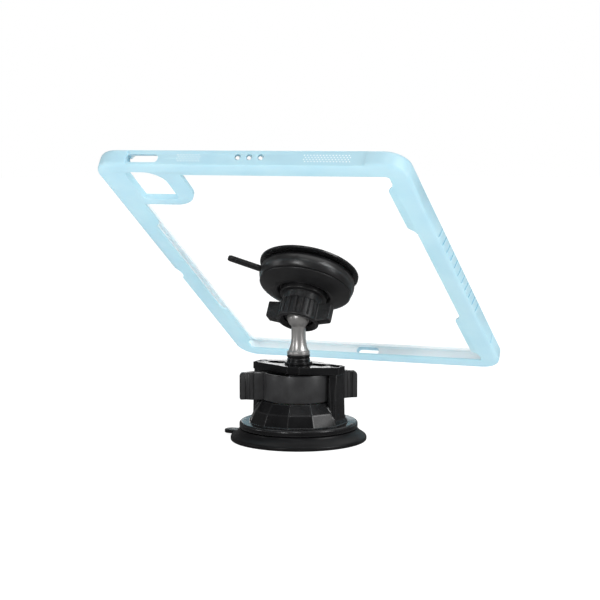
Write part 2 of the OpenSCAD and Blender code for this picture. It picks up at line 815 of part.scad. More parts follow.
module stud_nut() {
    nut_z = plate_z - stud_washer_t - stud_nut_t;
    color(steel) difference() {
        translate([0, 0, nut_z]) cylinder(d = stud_nut_w / cos(30), h = stud_nut_t, $fn = 6);
        disc(shank_r + shaft_fit, nut_z - cut, nut_z + stud_nut_t + cut);
    }
}

// Thin slippery cap between ball and collet
module ball_liner() {
    color(nylon) head_frame() difference() {
        sphere(liner_r, $fn = round_fn);
        sphere(seat_r, $fn = round_fn);
        translate([0, 0, liner_edge - 2 * liner_r]) cube(4 * liner_r, center = true);
    }
}

// Slit collet that the nut squeezes on the ball
module ball_collet() {
    cone_low_r = collet_r - collet_taper;
    color(black_plastic) head_frame() difference() {
        ring_solid([[0, -collet_lip], [cone_low_r, -collet_lip], [collet_r, sleeve_low],
            [collet_r, collet_top], [0, collet_top]]);
        sphere(seat_r, $fn = round_fn);
        intersection() {
            sphere(pocket_r, $fn = round_fn);
            translate([0, 0, collet_shoulder + pocket_r]) cube(2 * pocket_r, center = true);
        }
        slit_top = collet_top - collet_roof - collet_slit;
        for (i = [0:collet_slits - 1]) rotate([0, 0, 45 + 360 * i / collet_slits])
            translate([seat_r - collet_slit, -collet_slit / 2, -collet_lip - cut])
                cube([collet_r, collet_slit, slit_top + collet_lip + cut]);
    }
}

// Ribbed nut with two finger wings
module clamp_nut() {
    waist_s = mouth_depth - nut_drop;
    wing_root = nut_bevel - nut_drop;
    wing_tip = nut_wing_reach - nut_wing_cut;
    wing = [[nut_bore, wing_root], [nut_r, wing_root], [wing_tip, nut_wing_low],
        [nut_wing_reach, nut_wing_low + nut_wing_cut], [nut_wing_reach, nut_top - edge_round],
        [nut_wing_reach - edge_round, nut_top], [nut_bore, nut_top]];
    color(black_plastic) head_frame() difference() {
        union() {
            ring_solid([[0, -nut_drop], [nut_r - nut_bevel, -nut_drop], [nut_r, nut_bevel - nut_drop],
                [nut_r, nut_top - edge_round], [nut_r - edge_round, nut_top], [0, nut_top]]);
            in_pairs() translate([0, nut_wing_t / 2, 0]) rotate([90, 0, 0])
                linear_extrude(nut_wing_t) polygon(wing);
        }
        ring_solid([[0, -nut_drop - cut], [nut_mouth_r, -nut_drop - cut], [nut_mouth_r, -nut_drop],
            [mouth_waist_r, waist_s], [collet_r + 2 * run_gap, nut_seat], [nut_bore, nut_seat],
            [nut_bore, nut_top + cut], [0, nut_top + cut]]);
        // Finger grooves between the ribs, left out where the wings stand
        groove_angle = 360 / nut_ribs;
        wing_half = asin((nut_wing_t / 2 + nut_rib_d) / nut_r);
        for (i = [0:nut_ribs - 1]) let (a = groove_angle * (i + 0.5), off = abs((a + 90) % 180 - 90))
            if (off > wing_half) rotate([0, 0, a]) translate([nut_r + seat_gap, 0, nut_wing_low])
                cylinder(r = nut_rib_d, h = nut_top + cut - nut_wing_low, $fn = 24);
    }
}

// Bowl with its neck and the threaded sleeve that the nut screws onto
module head_bowl() {
    socket_top = collet_top + run_gap;
    neck_low = nut_top + run_gap;
    spigot_top = seam_s + core_t;
    spigot_in = spigot_r - spigot_wall;
    sleeve = [[0, socket_top], [sleeve_in, socket_top], [sleeve_in, sleeve_low], [sleeve_r, sleeve_low],
        [sleeve_r, neck_low], [head_neck_r, neck_low]];
    step = [[head_neck_r, head_neck_top], [head_step_r - edge_round, head_neck_top],
        [head_step_r, head_neck_top + edge_round], [head_step_r, head_groove_top]];
    inner_lip = bend([head_step_r + groove_floor_w, head_groove_top],
        [bowl_low_r - lip_round, bowl_low_s + seat_gap], [bowl_low_r, bowl_low_s]);
    dish = bend([bowl_low_r + bowl_foot_w, bowl_low_s], [bowl_r - bowl_foot_w, bowl_low_s + lip_round],
        [bowl_r, seam_s - seam_edge], 8);
    spigot = [[bowl_r - seam_edge, seam_s], [spigot_r, seam_s], [spigot_r, spigot_top],
        [spigot_in, spigot_top], [spigot_in, seam_s], [0, seam_s]];
    color(black_plastic) head_frame() difference() {
        ring_solid(concat(sleeve, step, inner_lip, dish, spigot));
        at_core_screws() disc(core_screw_r, seam_s - core_screw_hold, seam_s + cut);
    }
}

module at_core_screws() {
    for (i = [0:core_screws - 1]) rotate([0, 0, 360 * i / core_screws])
        translate([core_screw_pcd_r, 0, 0]) children();
}

// Stiff plate that backs the rubber pad
module head_core_plate() {
    core_top = core_s + core_t;
    color(black_plastic) head_frame() difference() {
        disc(core_r, core_s, core_top);
        at_core_screws() {
            disc(core_screw_r + lift_gap, core_s - cut, core_top + cut);
            disc(core_head_r + 2 * seat_gap, core_top - core_head_d, core_top + cut);
        }
    }
}

// Screws that hold that plate on the bowl
module head_core_screws() {
    head_low = core_s + core_t - core_head_d;
    color(steel) head_frame() at_core_screws() {
        disc(core_head_r, head_low, head_low + core_head_h);
        disc(core_screw_r, seam_s - core_screw_hold + 2 * seat_gap, head_low + seat_gap);
    }
}

// Outer ring that holds the pad's flange on the bowl, with a slot for the pull tab
module head_ring() {
    low = seam_s + seat_gap;
    flange_over = pad_flange_top + seat_gap;
    bore = pad_waist_r + soft_edge;
    bulge = bend([bowl_r, low + seam_edge], [bowl_r + 2 * ring_bulge, (low + ring_top_s) / 2],
        [bowl_r, ring_top_s - 2 * soft_edge], 8);
    tab_s = pad_floor + pad_flange_t / 2;
    slot_l = ring_wall + 2 * (ring_bulge + tab_root);
    slot_w = pad_tab_w + 2 * lift_gap;
    slot_h = pad_tab_t + 2 * lift_gap;
    color(black_plastic) head_frame() difference() {
        ring_solid(concat([[ring_in, low], [bowl_r - seam_edge, low]], bulge,
            [[bowl_r - 2 * soft_edge, ring_top_s], [bore, ring_top_s], [bore, flange_over],
            [ring_in, flange_over]]));
        rotate([0, 0, pad_tab_az]) translate([ring_in - tab_root, -slot_w / 2, tab_s - slot_h / 2])
            cube([slot_l, slot_w, slot_h]);
    }
}

// Rubber pad that grips the clear panel, with its pull tab
module head_suction_pad() {
    seal_in = pad_lip_r - pad_seal_w;
    lip_low = panel_s - pad_lip_t;
    hollow_s = pad_flange_top + pad_dish_over;
    hollow_r = pad_waist_r - pad_wall;
    flare = bend([pad_waist_r, ring_top_s], [pad_waist_r + edge_round, lip_low - edge_break],
        [pad_lip_r - edge_round, lip_low]);
    hollow = bend([seal_in, panel_s], [hollow_r, hollow_s], [hollow_r - pad_hollow_l, hollow_s]);
    color(black_rubber) head_frame() union() {
        ring_solid(concat([[0, pad_floor], [pad_flange_r, pad_floor], [pad_flange_r, pad_flange_top],
            [pad_waist_r, pad_flange_top]], flare, [[pad_lip_r, lip_low + edge_round], [pad_lip_r, panel_s]],
            hollow, [[0, hollow_s]]));
        rotate([0, 0, pad_tab_az]) translate([0, 0, pad_floor + pad_flange_t / 2])
            strap(pad_flange_r - tab_root, pad_tab_reach, pad_tab_w, pad_tab_t);
    }
}

// Section of the case's wall, with its outer face at the given radius from the corner's centre
function wall_section(r) = let (lip_in = r - case_wall - tablet_gap - lip_over) concat(
    bend([r - back_round[0], -rim_proud], [r, -rim_proud], [r, back_round[1] - rim_proud]),
    bend([r, case_top - front_round[1]], [r, case_top], [r - front_round[0], case_top]),
    [[lip_in, case_top], [lip_in, pocket_top], [r - case_wall, pocket_top], [r - case_wall, panel_t],
    [r - rebate_q, panel_t], [r - rebate_q, 0], [r - rim_w, 0], [r - rim_w, rim_edge - rim_proud],
    [r - rim_w + rim_edge, -rim_proud]]);

module case_rail(half, length) {
    translate([half - case_corner_r, length / 2, 0]) rotate([90, 0, 0]) linear_extrude(length)
        polygon(wall_section(case_corner_r));
}

// Four straight walls and four turned corners of one section
module case_ring() {
    side_l = case_l - 2 * case_corner_r;
    end_l = case_w - 2 * case_corner_r;
    for (a = [0, 180]) rotate([0, 0, a]) case_rail(case_w / 2, side_l);
    for (a = [90, 270]) rotate([0, 0, a]) case_rail(case_l / 2, end_l);
    for (i = [0:3]) let (sx = [1, -1, -1, 1][i], sy = [1, 1, -1, -1][i])
        translate([sx * (case_w / 2 - case_corner_r), sy * (case_l / 2 - case_corner_r), 0])
            rotate([0, 0, 90 * i]) rotate_extrude(angle = 90, $fn = round_fn)
                polygon(wall_section(case_corner_r));
}

// Swept end of a gusset, from the rail's edge to the gusset's edge
function gusset_end(edge, y, away) = let (w = gusset_w, mid = [edge - w / 2, y + away * w]) concat(
    bend([edge, y], [edge, y + away * w / 2], mid),
    bend(mid, [edge - w, y + away * w * 3 / 2], [edge - w, y + away * w * 2]));

function backwards(list) = [for (i = [len(list) - 1:-1:0]) list[i]];

// Wider rim beside a corner, between two heights on the panel
module gusset(near, far) {
    edge = case_w / 2 - rim_w;
    translate([0, 0, -rim_proud]) linear_extrude(rim_proud) polygon(concat([[edge + block_lap, near]],
        gusset_end(edge, near, 1), backwards(gusset_end(edge, far, -1)), [[edge + block_lap, far]]));
}

// Corner plate round the camera, flush with the back rim
module camera_block(grow, z0, z1) {
    x0 = camera_block_x - grow;
    y0 = camera_block_y - grow;
    w = case_w / 2 - rebate_q + block_lap - x0;
    l = case_l / 2 - rebate_q + block_lap - y0;
    r = camera_block_r;
    translate([x0, y0, z0]) linear_extrude(z1 - z0) {
        translate([r, 0]) square([w - r, l]);
        translate([0, r]) square([w, l - r]);
        translate([r, r]) circle(r, $fn = 64);
    }
}

// Camera window, with one corner rounder than the others
module camera_outline() {
    translate([camera_x, camera_y]) difference() {
        rounded_outline(camera_w, camera_h, camera_r);
        translate([camera_big_r - camera_w / 2, camera_h / 2 - camera_big_r]) difference() {
            translate([-camera_big_r - cut, 0]) square([camera_big_r + cut, camera_big_r + cut]);
            circle(camera_big_r, $fn = 64);
        }
    }
}

// Sloped section of the camera opening, of a given half size at the back
function window_section(half) = let (over = cut * camera_slope / (panel_t + rim_proud),
    back = half + over, inside = half - camera_slope - over)
    [[-back, -rim_proud - cut], [back, -rim_proud - cut], [inside, panel_t + cut], [-inside, panel_t + cut]];

// Camera opening, whose edges slope in towards the tablet
module camera_opening() {
    intersection() {
        translate([0, 0, -rim_proud - cut]) linear_extrude(panel_t + rim_proud + 2 * cut) camera_outline();
        translate([camera_x, camera_y + camera_h, 0]) rotate([90, 0, 0]) linear_extrude(2 * camera_h)
            polygon(window_section(camera_w / 2));
        translate([camera_x - camera_w, camera_y, 0]) rotate([90, 0, 90]) linear_extrude(2 * camera_w)
            polygon(window_section(camera_h / 2));
    }
}

// Slot through a wall, long along X, whose middle is at the given place; it can rise towards the inside
module wall_slot(at, length, height, turn, lean = 0) {
    translate(at) rotate([0, 0, turn]) rotate([90 - lean, 0, 0]) linear_extrude(4 * case_wall, center = true)
        rounded_outline(length, height, height / 2 - slot_flat);
}

// Flats cut between the corner bumpers; the ridged side keeps its slanted grips
module bumper_flats() {
    end = case_w - 2 * bumper_l;
    z0 = -rim_proud - cut;
    tall = case_top + rim_proud + 2 * cut;
    for (sy = [-1, 1]) translate([-end / 2, sy * case_l / 2 - (sy > 0 ? bumper_step : cut), z0])
        cube([end, bumper_step + cut, tall]);
    translate([case_w / 2 - bumper_step, -side_flat_l / 2, z0]) cube([bumper_step + cut, side_flat_l, tall]);
    difference() {
        translate([-case_w / 2 - cut, -grip_flat_l / 2, z0]) cube([ridge_d + cut, grip_flat_l, tall]);
        for (i = [0:ridge_count - 1]) let (y = ridge_y + (i - (ridge_count - 1) / 2) * ridge_pitch)
            translate([-case_w / 2, y, wall_mid]) rotate([ridge_slant, 0, 0])
                cube([4 * ridge_d, ridge_w, 3 * tall], center = true);
    }
}

// Soft frame of the case
module case_frame() {
    top = case_l / 2;
    color(sky_blue) case_axes() difference() {
        union() {
            case_ring();
            camera_block(0, -rim_proud, panel_t);
            far = top - rim_w - gusset_gap;
            for (sx = [0, 1], sy = [0, 1]) let (up = sy == 0 ? gusset_shift : -gusset_shift)
                mirror([sx, 0, 0]) mirror([0, sy, 0]) gusset(gusset_from + up, far);
        }
        camera_opening();
        bumper_flats();
        wall_slot([power_x, top, power_z], power_l, power_h, 0, slot_lean);
        for (i = [-1:1]) translate([mic_x + i * mic_pitch, top, mic_z]) rotate([90 - mic_lean, 0, 0])
            cylinder(r = mic_r, h = 4 * case_wall, center = true, $fn = 24);
        wall_slot([0, -top, wall_mid], port_l, port_h, 0);
        wall_slot([case_w / 2, volume_y, wall_mid], volume_l, volume_h, 90);
        notch_r = (notch_l * notch_l / 4 + notch_d * notch_d) / (2 * notch_d);
        translate([case_w / 2 + notch_r - notch_d, notch_y, -rim_proud - cut])
            cylinder(r = notch_r, h = case_top + rim_proud + 2 * cut, $fn = round_fn);
    }
}

// Clear back panel, cut away round the camera block
module clear_panel() {
    edge_gap = 0.05;
    color(clear) case_axes() difference() {
        rounded_slab(case_w - 2 * (rebate_q + edge_gap), case_l - 2 * (rebate_q + edge_gap),
            case_corner_r - rebate_q - edge_gap, 0, panel_t);
        camera_block(edge_gap, -cut, panel_t + cut);
    }
}

base_suction_cup();
cup_pull_stud();
stud_cross_pin();
base_housing();
drum_washer();
twist_drum();
top_plate();
plate_screws();
stud_collar();
ball_stud();
stud_washer();
stud_nut();
ball_liner();
ball_collet();
clamp_nut();
head_bowl();
head_core_plate();
head_core_screws();
head_ring();
head_suction_pad();
case_frame();
clear_panel();
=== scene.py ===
import json
import math

import bmesh
import bpy
from mathutils import Matrix, Vector


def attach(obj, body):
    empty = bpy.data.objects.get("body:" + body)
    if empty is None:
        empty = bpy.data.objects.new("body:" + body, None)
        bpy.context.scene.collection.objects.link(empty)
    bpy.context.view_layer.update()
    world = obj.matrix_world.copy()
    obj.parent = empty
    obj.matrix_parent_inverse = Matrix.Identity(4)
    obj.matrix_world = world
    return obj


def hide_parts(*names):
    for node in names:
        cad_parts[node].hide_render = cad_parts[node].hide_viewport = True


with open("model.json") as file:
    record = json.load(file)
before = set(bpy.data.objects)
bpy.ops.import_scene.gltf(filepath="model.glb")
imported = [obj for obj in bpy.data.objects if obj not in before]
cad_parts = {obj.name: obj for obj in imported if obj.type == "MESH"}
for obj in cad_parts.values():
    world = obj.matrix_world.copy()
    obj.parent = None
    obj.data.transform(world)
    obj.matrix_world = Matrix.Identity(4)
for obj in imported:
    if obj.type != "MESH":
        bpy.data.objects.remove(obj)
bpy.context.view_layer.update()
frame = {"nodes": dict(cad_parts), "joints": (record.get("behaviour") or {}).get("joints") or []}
nodes = frame["nodes"]
mm = 0.001  # the pieces' sizes are in mm, and the set's are in metres
hair = 0.001 * mm  # points closer than this are one point
smoothDeg = 35  # faces that meet at less than this are shaded as one
print("frame loaded:", len(nodes), "nodes")


# Materials

def linearColor(hexText):
    # sRGB hex to the linear values that Blender's sockets hold
    channels = [int(hexText[i:i + 2], 16) / 255 for i in (1, 3, 5)]
    return tuple(c / 12.92 if c <= 0.04045 else ((c + 0.055) / 1.055) ** 2.4 for c in channels) + (1.0,)


def addNode(tree, kind, sockets=None, links=None, **settings):
    node = tree.nodes.new(kind)
    for name, value in settings.items():
        setattr(node, name, value)
    for name, value in (sockets or {}).items():
        node.inputs[name].default_value = value
    for name, source in (links or {}).items():
        tree.links.new(source, node.inputs[name])
    return node


def startMaterial(name, sockets):
    material = bpy.data.materials.new(name)
    material.use_nodes = True
    tree = material.node_tree
    shader = tree.nodes["Principled BSDF"]
    for socket, value in sockets.items():
        shader.inputs[socket].default_value = value
    place = addNode(tree, "ShaderNodeTexCoord").outputs["Object"]
    return material, tree, shader, place


def grainScale(grainMm):
    # Object coordinates are in metres, so one noise cell spans grainMm
    return 1 / (grainMm * mm)


def addTone(tree, shader, place, dark, light, patchMm):
    # slow drift of the base colour between two tones
    drift = addNode(tree, "ShaderNodeTexNoise", {"Scale": grainScale(patchMm), "Detail": 3.0}, {"Vector": place})
    ramp = addNode(tree, "ShaderNodeValToRGB", None, {"Fac": drift.outputs["Fac"]})
    for element, position, tone in zip(ramp.color_ramp.elements, (0.35, 0.65), (dark, light)):
        element.position = position
        element.color = linearColor(tone)
    tree.links.new(ramp.outputs["Color"], shader.inputs["Base Color"])


def addGrain(tree, shader, place, grainMm, depthMm, strength):
    # skin of the mould as bump, drawn coarser than the real skin so that it shows
    grain = addNode(tree, "ShaderNodeTexNoise", {"Scale": grainScale(grainMm), "Detail": 2.0}, {"Vector": place})
    bump = addNode(tree, "ShaderNodeBump", {"Strength": strength, "Distance": depthMm * mm},
                   {"Height": grain.outputs["Fac"]})
    tree.links.new(bump.outputs["Normal"], shader.inputs["Normal"])


def addWear(tree, shader, place, rough, patchMm):
    # roughness drifts between two values, as handling polishes and scuffs the skin
    scuff = addNode(tree, "ShaderNodeTexNoise", {"Scale": grainScale(patchMm), "Detail": 6.0, "Roughness": 0.65},
                    {"Vector": place})
    span = addNode(tree, "ShaderNodeMapRange",
                   {"From Min": 0.3, "From Max": 0.7, "To Min": rough[0], "To Max": rough[1]},
                   {"Value": scuff.outputs["Fac"]})
    tree.links.new(span.outputs["Result"], shader.inputs["Roughness"])


def makeSkyBlueTpu(name, dark, light):
    # injection-moulded TPU: milky, matt to satin skin, light creeps a little way into it
    material, tree, shader, place = startMaterial(name, {
        "IOR": 1.5, "Subsurface Weight": 0.25, "Subsurface Scale": 3 * mm, "Subsurface Radius": (0.6, 0.9, 1.0)})
    addTone(tree, shader, place, dark, light, patchMm=24)
    addGrain(tree, shader, place, grainMm=0.45, depthMm=0.03, strength=0.2)
    addWear(tree, shader, place, rough=(0.28, 0.4), patchMm=9)
    return material


def makeClearSheet():
    # cast acrylic sheet: almost clear, with a faint milky haze and fine handling scuffs in its shine
    material, tree, shader, place = startMaterial("clear_acrylic_sheet", {"IOR": 1.49, "Alpha": 0.04})
    addTone(tree, shader, place, "#fafcfd", "#ffffff", patchMm=40)
    addWear(tree, shader, place, rough=(0.28, 0.36), patchMm=30)
    return material


def makeRubber(name, dark, light, rough, specular):
    # compression-moulded silicone: deep black, soft broad highlight, dust-dulled patches
    material, tree, shader, place = startMaterial(name, {"IOR": 1.45, "Specular IOR Level": specular})
    addTone(tree, shader, place, dark, light, patchMm=12)
    addGrain(tree, shader, place, grainMm=0.3, depthMm=0.02, strength=0.2)
    addWear(tree, shader, place, rough, patchMm=6)
    return material


def makeAbs(name, dark, light, patchMm, grainMm, strength, rough, specular):
    # moulded ABS: the mould's finish sets how fine its grain is and how far it spreads a highlight
    material, tree, shader, place = startMaterial(name, {"IOR": 1.53, "Specular IOR Level": specular})
    addTone(tree, shader, place, dark, light, patchMm)
    addGrain(tree, shader, place, grainMm, depthMm=0.04, strength=strength)
    addWear(tree, shader, place, rough, patchMm=5)
    return material


def makeTurnedAluminium():
    # turned, bead-blasted and clear-anodised aluminium: soft silver with faint tool rings
    material, tree, shader, place = startMaterial("satin_anodised_aluminium", {"Metallic": 0.85})
    addTone(tree, shader, place, "#c9c7c5", "#d2d0ce", patchMm=6)
    # the wave node runs 20 radians to the unit, so a ring is 3.1 mm wide, drawn that coarse so that it shows
    rings = addNode(tree, "ShaderNodeTexWave", {"Scale": grainScale(0.5) / 20, "Distortion": 0.6, "Detail": 2.0},
                    {"Vector": place}, wave_type="BANDS", bands_direction="Z")
    blast = addNode(tree, "ShaderNodeTexNoise", {"Scale": grainScale(0.22), "Detail": 2.0}, {"Vector": place})
    both = addNode(tree, "ShaderNodeMath", None, {0: rings.outputs["Fac"], 1: blast.outputs["Fac"]},
                   operation="ADD")
    bump = addNode(tree, "ShaderNodeBump", {"Strength": 0.03, "Distance": 0.005 * mm},
                   {"Height": both.outputs["Value"]})
    tree.links.new(bump.outputs["Normal"], shader.inputs["Normal"])
    addWear(tree, shader, place, rough=(0.3, 0.35), patchMm=6)
    return material


def makeSteel():
    # zinc-plated steel: bright with cloudy passivation
    material, tree, shader, place = startMaterial("zinc_plated_steel", {"Metallic": 1.0})
    addTone(tree, shader, place, "#8f9194", "#a6a8aa", patchMm=2)
    addGrain(tree, shader, place, grainMm=0.3, depthMm=0.01, strength=0.15)
    addWear(tree, shader, place, rough=(0.25, 0.42), patchMm=2)
    return material


def makeNylon():
    # natural nylon: waxy off-white
    material, tree, shader, place = startMaterial("natural_nylon", {
        "IOR": 1.53, "Subsurface Weight": 0.2, "Subsurface Scale": 1 * mm})
    addTone(tree, shader, place, "#dedbd2", "#e8e5dc", patchMm=3)
    addGrain(tree, shader, place, grainMm=0.3, depthMm=0.02, strength=0.2)
    addWear(tree, shader, place, rough=(0.4, 0.55), patchMm=2)
    return material


finishes = {
    "tpu": makeSkyBlueTpu("moulded_tpu_sky_blue", "#b0d6e4", "#b8dbe7"),
    # speaker dots: painted pale, a painted light standing in for light shining through the thin wall there
    "thinTpu": makeSkyBlueTpu("thin_tpu_sky_blue", "#f2fafc", "#f8fdfe"),
    # pocket: painted nearly white, a painted light standing in for light coming through the soft wall
    "pocketPaintedLightTpu": makeSkyBlueTpu("polished_tpu_sky_blue", "#f0fbff", "#f6fdff"),
    # grip ridges: the flanks facing up the wall are painted darker, a painted shade along each ridge
    "gripPaintedShadeTpu": makeSkyBlueTpu("handled_tpu_sky_blue", "#84b6ca", "#8ebfd1"),
    "clear": makeClearSheet(),
    # base cup: dull
    "rubber": makeRubber("moulded_black_rubber", "#101011", "#161617", rough=(0.28, 0.4), specular=0.2),
    # head pad: shinier, off a polished mould
    "sealRubber": makeRubber("polished_black_rubber", "#141415", "#1a1a1b", rough=(0.22, 0.3), specular=0.6),
    # drum: dark grey with a soft sheen
    "satin": makeAbs("satin_black_abs", "#2b2b2c", "#333334", patchMm=8, grainMm=0.35, strength=0.25,
                     rough=(0.32, 0.42), specular=0.35),
    # head: deep black with a broad clear highlight
    "dark": makeAbs("fine_black_abs", "#121213", "#181819", patchMm=10, grainMm=0.35, strength=0.2,
                    rough=(0.28, 0.36), specular=0.75),
    # housing and plate: deep black, smooth enough to mirror the strips
    "gloss": makeAbs("polished_black_abs", "#121213", "#181819", patchMm=10, grainMm=0.8, strength=0.06,
                     rough=(0.14, 0.22), specular=0.22),
    # nut and neck: spark-eroded grain, drawn at about 1 mm so that it shows
    "grained": makeAbs("grained_black_abs", "#060607", "#282829", patchMm=0.9, grainMm=0.9, strength=1.0,
                       rough=(0.34, 0.44), specular=0.42),
    # edges of the nut: painted lighter grey, a painted highlight along the rib edges
    "worn": makeAbs("worn_black_abs", "#222223", "#2c2c2d", patchMm=2, grainMm=0.8, strength=0.2,
                    rough=(0.25, 0.35), specular=0.5),
    # edges of drum, housing and plate: rubbed to a thin bright line
    "burnished": makeAbs("burnished_black_abs", "#161617", "#1d1d1e", patchMm=6, grainMm=0.8, strength=0.05,
                         rough=(0.2, 0.28), specular=0.5),
    "aluminium": makeTurnedAluminium(),
    "steel": makeSteel(),
    "nylon": makeNylon(),
}
nodeFinish = {
    "base_suction_cup": "rubber", "base_housing": "gloss", "twist_drum": "satin", "top_plate": "gloss",
    "plate_screws": "steel", "stud_collar": "gloss", "ball_stud": "aluminium", "clamp_nut": "grained",
    "head_bowl": "dark", "head_ring": "dark", "head_suction_pad": "rubber", "case_frame": "tpu",
    "clear_panel": "clear", "cup_pull_stud": "steel", "stud_cross_pin": "steel", "drum_washer": "nylon",
    "stud_washer": "steel", "stud_nut": "steel", "ball_liner": "nylon", "ball_collet": "dark",
    "head_core_plate": "dark", "head_core_screws": "steel",
}
for nodeName, finish in nodeFinish.items():
    slots = nodes[nodeName].data.materials
    slots.clear()
    slots.append(finishes[finish])
print("materials:", len(finishes))


# Modelling helpers

def activate(piece):
    bpy.ops.object.select_all(action="DESELECT")
    piece.select_set(True)
    bpy.context.view_layer.objects.active = piece


def pick(piece, kind, test):
    # selects the edges or faces that pass the test, in edit mode
    bpy.ops.mesh.select_mode(type={"edges": "EDGE", "faces": "FACE"}[kind])
    bpy.ops.mesh.select_all(action="DESELECT")
    mesh = bmesh.from_edit_mesh(piece.data)
    for item in getattr(mesh, kind):
        if test(item):
            item.select_set(True)
    mesh.select_flush(False)
    bmesh.update_edit_mesh(piece.data)


def applyModifier(piece, kind, **settings):
    modifier = piece.modifiers.new(kind.lower(), kind)
    for name, value in settings.items():
        setattr(modifier, name, value)
    activate(piece)
    bpy.ops.object.modifier_apply(modifier=modifier.name)


def repeatPiece(piece, count, step):
    applyModifier(piece, "ARRAY", count=count, use_relative_offset=False, use_constant_offset=True,
                  constant_offset_displace=step)


def drillPiece(piece, drill, **settings):
    # cuts the drill out of the piece and puts the drill away
    applyModifier(piece, "BOOLEAN", operation="DIFFERENCE", object=drill, solver="EXACT", **settings)
    bpy.data.objects.remove(drill)


def bend(start, pull, end, steps=8):
    # points of a smooth bend from start to end, drawn towards pull
    points = []
    for i in range(steps + 1):
        t = i / steps
        points.append(tuple(a * (1 - t) ** 2 + 2 * b * t * (1 - t) + c * t * t for a, b, c in zip(start, pull, end)))
    return points


def spinOutline(name, outline, steps=128):
    # one vertex is extruded along the outline (radius and height in mm), then spun round Z
    bpy.ops.object.select_all(action="DESELECT")
    bpy.ops.mesh.primitive_plane_add(size=mm)
    piece = bpy.context.object
    piece.name = name
    bpy.ops.object.mode_set(mode="EDIT")
    bpy.ops.mesh.select_mode(type="VERT")
    bpy.ops.mesh.merge(type="CENTER")
    bpy.ops.transform.translate(value=(outline[0][0] * mm, 0, outline[0][1] * mm))
    for before, after in zip(outline, outline[1:]):
        step = ((after[0] - before[0]) * mm, 0, (after[1] - before[1]) * mm)
        bpy.ops.mesh.extrude_vertices_move(TRANSFORM_OT_translate={"value": step})
    bpy.ops.mesh.select_all(action="SELECT")
    bpy.ops.mesh.spin(steps=steps, angle=2 * math.pi, center=(0, 0, 0), axis=(0, 0, 1))
    bpy.ops.mesh.select_all(action="SELECT")
    bpy.ops.mesh.remove_doubles(threshold=hair)
    bpy.ops.mesh.normals_make_consistent(inside=False)
    bpy.ops.object.mode_set(mode="OBJECT")
    return piece


def makeStrap(name, look):
    # flat strap along X with a round end, its middle plane at zero
    start, reach, width, thick = (look[key] for key in ("tabFrom", "tabReach", "tabW", "tabT"))
    roundShare, edgeDeg = 0.46, 50  # of its width, and what counts as an edge to be rounded

    def isEndUpright(edge):
        first, second = (vert.co for vert in edge.verts)
        atEnd = abs(first.x - reach * mm) < hair and abs(second.x - reach * mm) < hair
        return atEnd and abs(first.z - second.z) > hair

    bpy.ops.object.select_all(action="DESELECT")
    bpy.ops.mesh.primitive_cube_add(size=1, location=((start + reach) / 2 * mm, 0, 0),
                                    scale=((reach - start) * mm, width * mm, thick * mm))
    piece = bpy.context.object
    piece.name = name
    bpy.ops.object.transform_apply(location=True, rotation=True, scale=True)
    bpy.ops.object.mode_set(mode="EDIT")
    pick(piece, "edges", isEndUpright)
    bpy.ops.mesh.bevel(offset=width * roundShare * mm, segments=8)
    bpy.ops.object.mode_set(mode="OBJECT")
    applyModifier(piece, "BEVEL", width=look["tabEdge"] * mm, segments=3, limit_method="ANGLE",
                  angle_limit=math.radians(edgeDeg))
    return piece


def joinPieces(main, *others):
    activate(main)
    for other in others:
        other.select_set(True)
    bpy.ops.object.join()
    return main


def setPlace(piece, place):
    # the place goes into the mesh, and the object stays at the origin
    piece.matrix_world = place
    activate(piece)
    bpy.ops.object.transform_apply(location=True, rotation=True, scale=True)


def paintFaces(piece, finish, test):
    # faces that pass the test get a finish of their own
    piece.data.materials.append(finishes[finish])
    activate(piece)
    bpy.ops.object.mode_set(mode="EDIT")
    pick(piece, "faces", test)
    piece.active_material_index = len(piece.data.materials) - 1
    bpy.ops.object.material_slot_assign()
    bpy.ops.object.mode_set(mode="OBJECT")


def finishPiece(piece, body, finish, replaced, shadeDeg=smoothDeg):
    activate(piece)
    bpy.ops.object.shade_smooth_by_angle(angle=math.radians(shadeDeg))
    if finish:
        piece.data.materials.clear()
        piece.data.materials.append(finishes[finish])
    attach(piece, body)
    if replaced:
        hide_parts(replaced)


# Places: the head's frame sits in the ball, the case's frame on the back of its clear sheet

caseSeat = {"drop": 5, "panel": 33.6}  # mm from the ball, along the case and out from it
baseYaw = -6  # degrees
headJoint = next(joint for joint in frame["joints"] if joint["name"] == "head_spin")
headAxis = Vector(headJoint["axis"])
headSide = Vector((1, 0, 0))
headPlace = Matrix.Translation(headJoint["pos_m"]) @ Matrix(
    (headSide, headAxis.cross(headSide), headAxis)).transposed().to_4x4()
casePlace = (headPlace @ Matrix.Translation((0, caseSeat["drop"] * mm, caseSeat["panel"] * mm))
             @ Matrix.Rotation(math.pi, 4, "Z"))
basePlace = Matrix.Rotation(math.radians(baseYaw), 4, "Z")
toHead = headPlace.inverted()
toCase = casePlace.inverted()


# Base cup: a spun rubber cup with a release tab

cup = {"rimR": 42.1, "rimT": 2.0, "topR": 36.8, "topZ": 7.1, "boreR": 4.15, "boreDeep": 3, "bossR": 11.0,
       "bossTop": 9.1, "bossDraft": 0.6, "under": 2.5, "sealW": 2.2, "sealRun": 9, "edge": 0.5,
       "rimIn": 1.2, "rimUp": 1.0, "flareOut": 1.4, "flareUp": 2.4,
       "tabFrom": 38, "tabReach": 49, "tabW": 9, "tabT": 2.3, "tabEdge": 0.6, "tabAz": 182}


